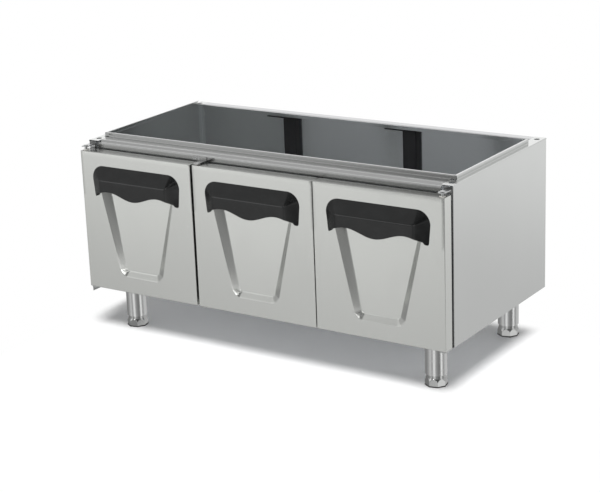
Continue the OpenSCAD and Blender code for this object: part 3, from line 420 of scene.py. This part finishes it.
def spread(knots, counts):
    """Points between knots, counts[i] of them in span i, with the last knot at the end."""
    spans = [np.linspace(a, b, n, endpoint=False) for a, b, n in zip(knots[:-1], knots[1:], counts)]
    return np.concatenate(spans + [np.array(knots[-1:])])


def grid_faces(rows, columns, start=0):
    """The quads of a grid of points stored row by row."""
    r, c = np.meshgrid(np.arange(rows - 1), np.arange(columns - 1), indexing="ij")
    a = (start + r * columns + c).ravel()
    return np.stack((a, a + 1, a + 1 + columns, a + columns), axis=1).tolist()


def ring_faces(rings, count, start):
    """The quads of closed rings of count points each, stored ring by ring."""
    r, c = np.meshgrid(np.arange(rings - 1), np.arange(count), indexing="ij")
    a = (start + r * count + c).ravel()
    b = (start + r * count + (c + 1) % count).ravel()
    return np.stack((a, a + count, b + count, b), axis=1).tolist()


def surface(name, points, faces, material, merge):
    """A smooth mesh object at the origin, with points closer than merge made one and its faces outwards."""
    mesh = bpy.data.meshes.new(name)
    mesh.from_pydata(points.tolist(), [], faces)
    work = bmesh.new()
    work.from_mesh(mesh)
    bmesh.ops.remove_doubles(work, verts=work.verts, dist=merge)
    bmesh.ops.dissolve_degenerate(work, edges=work.edges, dist=merge)
    bmesh.ops.recalc_face_normals(work, faces=work.faces)
    work.to_mesh(mesh)
    work.free()
    mesh.polygons.foreach_set("use_smooth", np.ones(len(mesh.polygons), bool))
    mesh.materials.append(material)
    piece = bpy.data.objects.new(name, mesh)
    scene.collection.objects.link(piece)
    return piece


def door_pan(middle, low, high, half, front, back):
    """The pan: a grid over the front, warped so that its columns follow the recess's walls, then rings round
    its border that turn back over a quarter bend and run to the door's back. A border corner is a fan of
    six directions, so that the bend is a piece of a ball there."""
    bend = DOOR_EDGE_BEND
    # Rows lie closest at the recess's foot and about its top.
    z = spread((low + bend, 0.045, 0.048, 0.052, 0.084, 0.340, 0.355, high - bend), (7, 2, 8, 32, 20, 12, 5))
    inner, outer = bed_half(z), mouth_half(z)
    knots = np.stack((np.zeros_like(z), inner - BED_STRIP, inner + BED_STRIP, outer - MOUTH_STRIP,
                      outer + MOUTH_STRIP, np.full_like(z, half - bend)))
    share = spread((0, 1, 2, 3, 4, 5), (8, 10, 12, 10, 6))
    span = np.minimum(share.astype(int), 4)
    x = knots[span] + (knots[span + 1] - knots[span]) * (share - span)[:, None]
    x = np.concatenate((-x[:0:-1], x)).T
    rows, columns = x.shape
    tall = np.repeat(z[:, None], columns, axis=1)
    grid = np.stack((x, front + recess_depth(x, tall), tall), axis=-1)
    path, angle = [], []
    for edge, start in ((grid[0], 180), (grid[:, -1], 270), (grid[-1, ::-1], 0), (grid[::-1, 0], 90)):
        fan = np.radians(np.linspace(start, start + 90, 6))
        path += [np.repeat(edge[:1], len(fan), axis=0), edge[1:-1]]
        angle += [fan, np.full(len(edge) - 2, fan[-1])]
    path, angle = np.concatenate(path), np.concatenate(angle)
    turn = np.radians(np.linspace(0, 90, 7))
    straight = np.linspace(front + bend, back, 6)[1:]
    out = np.concatenate((bend * np.sin(turn), np.full(len(straight), bend)))[:, None]
    deep = np.concatenate((front + bend * (1.0 - np.cos(turn)), straight))[:, None]
    skirt = np.stack((path[:, 0] + out * np.cos(angle), np.repeat(deep, len(path), axis=1),
                      path[:, 2] + out * np.sin(angle)), axis=-1)
    points = np.concatenate((grid.reshape(-1, 3), skirt.reshape(-1, 3))) + (middle, 0.0, BODY_BOTTOM)
    return points, grid_faces(rows, columns) + ring_faces(len(out), len(path), rows * columns)


SIDES = ("left", "middle", "right")
# Painted shade: the doors' top-facing faces are painted darker.
door_satin = metal("satin_sheet_doors", (0.685, 0.695, 0.67), 0.22, UPRIGHT, smear=0.03, painted_shade=0.5)
for side in SIDES:
    low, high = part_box(f"door_{side}_skin")
    points, faces = door_pan((low.x + high.x) / 2, low.z - BODY_BOTTOM, high.z - BODY_BOTTOM,
                             (high.x - low.x) / 2, low.y, high.y)
    front = surface(f"door_{side}_front", points, faces, door_satin, merge=0.000001)
    wall = front.modifiers.new("sheet", "SOLIDIFY")
    wall.thickness = SHEET
    wall.offset = -1.0
    shade = front.modifiers.new("shading", "WEIGHTED_NORMAL")
    shade.keep_sharp = True
    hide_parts(f"door_{side}_skin")
    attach(front, f"door_{side}")


# The door liners and the floor pan
#
# The doors' backs and the cabinet's floor are plain zinc-coated sheet, each folded to a pan and welded in.
# The coating's crystals show as flat flakes of about 11 mm.
def galvanised(name, dark, light):
    """Zinc-coated sheet: cells of one tone each, between dark and light, the lighter ones the duller."""
    material = bpy.data.materials.new(name)
    material.use_nodes = True
    m = Maker(material.node_tree)
    crystals = m.node("ShaderNodeTexVoronoi", {"Vector": m.place(), "Scale": 90.0}, out="Color")
    flake = m.node("ShaderNodeSeparateColor", (crystals,))
    shader = m.node("ShaderNodeBsdfPrincipled", {
        "Base Color": m.blend(flake, dark, light), "Metallic": 0.15, "Roughness": flake * 0.12 + 0.48})
    m.node("ShaderNodeOutputMaterial", (shader,))
    return material


liner_zinc = galvanised("galvanised_liner", (0.76, 0.78, 0.79), (0.82, 0.84, 0.85))
floor_zinc = galvanised("galvanised_sheet", (0.78, 0.80, 0.82), (0.84, 0.86, 0.88))
dress([f"door_{side}_liner" for side in SIDES], liner_zinc)
dress(("floor_panel",), floor_zinc)


# The handles
#
# Each handle is a hood moulded in black plastic over the top of the recess: a flat grip under a straight
# ridge, a roof that slopes back to the door, quarter cones at its ends, and a waved lower edge. Four screws
# from behind the door's front hold it.
RIDGE_Z, RIDGE_HALF = 0.340, 0.118
HOOD_REACH, HOOD_RUN, HOOD_WALL = 0.020, 0.039, 0.003
HOOD_ROUND, LIP_ROUND = 0.0012, 0.0013
GRIP_Z, WAVE_HEIGHT, WAVE_LENGTH = 0.299, 0.010, 0.176
LUG_START, LUG_RAMP, LUG_DROP = 0.139, 0.006, 0.005
CORNER_START, CORNER_ROUND = 0.151, 0.006
GRIP_TAPER, TAPER_HEIGHT = 0.12, 0.05


def hood_height(x, z, reach, run):
    """Height of the hood off the door: it falls from reach at the ridge to nothing over run, measured
    from the nearest point of the grip, with a small round on the ridge and on the ends."""
    beyond = np.hypot(smooth_positive(np.abs(x) - RIDGE_HALF, HOOD_ROUND),
                      smooth_positive(z - RIDGE_Z, HOOD_ROUND))
    return reach * (1.0 - np.minimum(beyond / run, 1.0))


def grip_edge(x):
    """Height of the grip's lower edge: a cosine wave 176 mm long and 20 mm from crest to trough, less a lug
    5 mm lower over the last 18 mm at each end, plus a 6 mm quarter round at the lug's corner."""
    lug = np.clip((np.abs(x) - LUG_START) / LUG_RAMP, 0.0, 1.0)
    over = np.clip(np.abs(x) - CORNER_START, 0.0, CORNER_ROUND)
    corner = CORNER_ROUND - np.sqrt(CORNER_ROUND ** 2 - over ** 2)
    wave = GRIP_Z - WAVE_HEIGHT * np.cos(2.0 * math.pi * x / WAVE_LENGTH)
    return wave - LUG_DROP * lug * lug * (3.0 - 2.0 * lug) + corner


def grip(reach, run):
    """One face of the grip as a grid: columns run straight up from the waved edge to the ridge's height.
    Those beyond the ridge's ends lean in towards their feet, the outermost by 12% of its distance beyond
    over 50 mm."""
    # Columns lie closest about the ridge's ends and the lugs.
    half = (0.0, 0.112, 0.124, 0.137, 0.147, RIDGE_HALF + run)
    along = spread([-x for x in half[:0:-1]] + list(half), (10, 8, 4, 6, 26, 26, 6, 4, 8, 10))
    waved = grip_edge(along)
    up = spread((0.0, 0.9, 1.0), (12, 6))
    x = np.repeat(along[None, :], len(up), axis=0)
    z = waved[None, :] + (RIDGE_Z - waved[None, :]) * up[:, None]
    beyond = np.maximum(np.abs(x) - RIDGE_HALF, 0.0)
    lean = 1.0 - GRIP_TAPER * (RIDGE_Z - z) / TAPER_HEIGHT * beyond / run
    return np.stack((np.sign(x) * (np.minimum(np.abs(x), RIDGE_HALF) + beyond * lean),
                     hood_height(x, z, reach, run), z), axis=-1)


def roof(reach, run):
    """The roof and its quarter cones: straight rays from the ridge, or fanned from its two ends, out to the
    door."""
    fan = np.radians(np.linspace(180.0, 90.0, 15))
    left = np.stack((np.full_like(fan, -RIDGE_HALF), np.cos(fan), np.sin(fan)))
    ridge = np.linspace(-RIDGE_HALF, RIDGE_HALF, 41)[1:-1]
    top = np.stack((ridge, np.zeros_like(ridge), np.ones_like(ridge)))
    right = left[:, ::-1] * np.array((-1.0, -1.0, 1.0))[:, None]
    start, step_x, step_z = np.concatenate((left, top, right), axis=1)
    out = spread((0.0, 0.006, run), (6, 10))[:, None]
    x = start + out * step_x
    z = RIDGE_Z + out * step_z
    return np.stack((x, hood_height(x, z, reach, run), z), axis=-1)


def hood(middle, front):
    """Outer and inner faces that end on the door's front, joined along the waved edge by a half-round lip."""
    outer, inner = [(grip(HOOD_REACH - wall, HOOD_RUN - wall), roof(HOOD_REACH - wall, HOOD_RUN - wall))
                    for wall in (0.0, HOOD_WALL)]
    outer_edge, inner_edge = outer[0][0], inner[0][0]
    turn = np.radians(np.linspace(0.0, 180.0, 7))[:, None, None]
    lip = (outer_edge + inner_edge) / 2.0 + np.cos(turn) * (outer_edge - inner_edge) / 2.0
    lip[..., 2] -= np.sin(turn[..., 0]) * LIP_ROUND
    patches = (*outer, *inner, lip)
    faces, start = [], 0
    for patch, flipped in zip(patches, (False, False, True, True, True)):
        quads = grid_faces(*patch.shape[:2], start)
        faces += [quad[::-1] for quad in quads] if flipped else quads
        start += patch.shape[0] * patch.shape[1]
    points = np.concatenate([patch.reshape(-1, 3) for patch in patches])
    points[:, 1] = front - points[:, 1]
    return points + (middle, 0.0, BODY_BOTTOM), faces


# A thin line along the ridge is painted lighter, a painted highlight.
black_plastic = bpy.data.materials.new("black_moulding")
black_plastic.use_nodes = True
m = Maker(black_plastic.node_tree)
hood_y, hood_z = m.parts(m.place(), "YZ")
pores = m.noise(m.place((2600.0, 2600.0, 2600.0)), detail=1.0)
handled = m.noise(m.place((28.0, 28.0, 40.0)), detail=4.0, roughness=0.6).step(0.4, 0.75)
off_ridge = (hood_z - (BODY_BOTTOM + RIDGE_Z)).math("ABSOLUTE").step(0.0003, 0.0012)
ridge_painted_highlight = (1.0 - off_ridge) * (1.0 - hood_y.step(-0.3100, -0.3092))
black = m.blend(handled, (0.004, 0.0043, 0.0043), (0.008, 0.0085, 0.0085))
shader = m.node("ShaderNodeBsdfPrincipled", {
    "Base Color": m.blend(ridge_painted_highlight, black, (0.035, 0.036, 0.036)),
    "Roughness": handled * 0.05 + (pores - 0.5) * 0.03 + 0.14,
    "IOR": 1.46,
    "Normal": m.node("ShaderNodeBump", {"Strength": 0.05, "Distance": 0.0001, "Height": pores})})
m.node("ShaderNodeOutputMaterial", (shader,))
for side in SIDES:
    low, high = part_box(f"door_{side}_handle")
    points, faces = hood((low.x + high.x) / 2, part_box(f"door_{side}_skin")[0].y)
    piece = surface(f"door_{side}_hood", points, faces, black_plastic, merge=0.00002)
    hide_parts(f"door_{side}_handle")
    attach(piece, f"door_{side}")


# The hinges, catches and fasteners
#
# Screwed brackets of zinc-plated steel carry the hinge pins, and the middle door's are satin plate whose top
# faces are painted darker, painted shade. Screws, rivets and strikes are bright like the brackets. Bushes and
# catch cases are moulded in off-white nylon.
zinc = metal("zinc_plate", (0.58, 0.59, 0.59), 0.30, ALONG_X, cloud=0.1)
# Painted shade: the satin plate's top faces are painted darker.
satin_plate = metal("satin_plate", (0.50, 0.505, 0.50), 0.26, ALONG_X, painted_shade=0.55)
nylon = bpy.data.materials.new("off_white_nylon")
nylon.use_nodes = True
m = Maker(nylon.node_tree)
milky = m.noise(m.place((60.0, 60.0, 60.0)), detail=3.0)
shader = m.node("ShaderNodeBsdfPrincipled", {
    "Base Color": m.blend(milky, (0.70, 0.69, 0.64), (0.80, 0.79, 0.75)),
    "Roughness": milky * 0.1 + 0.4})
m.node("ShaderNodeOutputMaterial", (shader,))
dress([f"hinge_bracket_{end}_{side}" for end in ("top", "bottom") for side in ("left", "right")], zinc)
dress(("hinge_bracket_top_middle", "hinge_bracket_bottom_middle"), satin_plate)
dress(("hinge_pins", "hinge_screws", "catch_screws", "back_rivets", "leg_bolts"), zinc)
dress([f"door_{side}_strike" for side in SIDES], zinc)
dress([f"door_{side}_handle_screws" for side in SIDES], zinc)
dress([f"door_{side}_bushes" for side in SIDES], nylon)
dress([f"catch_{side}" for side in SIDES], nylon)


# The legs
#
# Each leg is a polished stainless tube over a socket on its plate. Its foot is a casting, round at the neck
# and cut with eight flats below, that screws into the tube and stands on a black rubber pad.
ROUND_THE_TUBE = (1, 1, 0)
polished = metal("polished_tube", (0.69, 0.695, 0.69), 0.10, ROUND_THE_TUBE, depth=1.0, cloud=0.02,
                 smear=0.03)
cast = metal("polished_casting", (0.52, 0.525, 0.52), 0.13, ROUND_THE_TUBE, depth=0.3)
rubber = bpy.data.materials.new("black_rubber")
rubber.use_nodes = True
m = Maker(rubber.node_tree)
dusty = m.noise(m.place((90.0, 90.0, 90.0)), detail=4.0).step(0.35, 0.8)
shader = m.node("ShaderNodeBsdfPrincipled", {
    "Base Color": m.blend(dusty, (0.015, 0.015, 0.015), (0.04, 0.039, 0.037)),
    "Roughness": dusty * 0.2 + 0.6})
m.node("ShaderNodeOutputMaterial", (shader,))
corners = [f"{end}_{side}" for end in ("front", "back") for side in ("left", "right")]
dress([f"leg_tube_{corner}" for corner in corners], polished)
dress([f"leg_plate_{corner}" for corner in corners], zinc)
dress([f"foot_{corner}" for corner in corners], cast)
dress([f"pad_{corner}" for corner in corners], rubber)
dress(("leg_inserts",), rubber)
